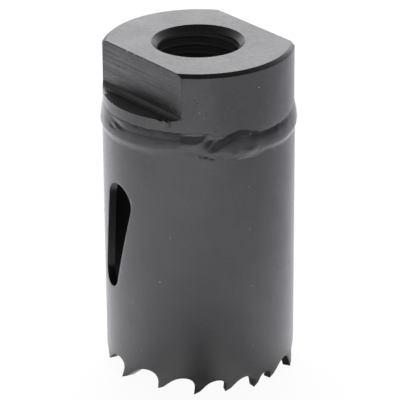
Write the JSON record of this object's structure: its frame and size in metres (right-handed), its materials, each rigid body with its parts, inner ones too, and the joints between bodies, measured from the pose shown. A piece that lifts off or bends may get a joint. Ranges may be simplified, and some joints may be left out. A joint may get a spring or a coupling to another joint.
{
  "type": "hole saw",
  "caption": "Black-painted toothed cup saw with a tapped end cap, two wrench flats and slanted plug slots.",
  "frame": {"origin": "on the saw's axis in the plane of the tooth tips", "axes": "+Z along the axis from the teeth to the end cap, +Y and -Y square to the wrench flats"},
  "size_m": [0.0282, 0.0283, 0.0492],
  "materials": {
    "black_enamel": "semi-gloss"
  },
  "bodies": {
    "root": {"cup": "black_enamel", "end_cap": "black_enamel", "weld_bead": "black_enamel"}
  },
  "joints": []
}
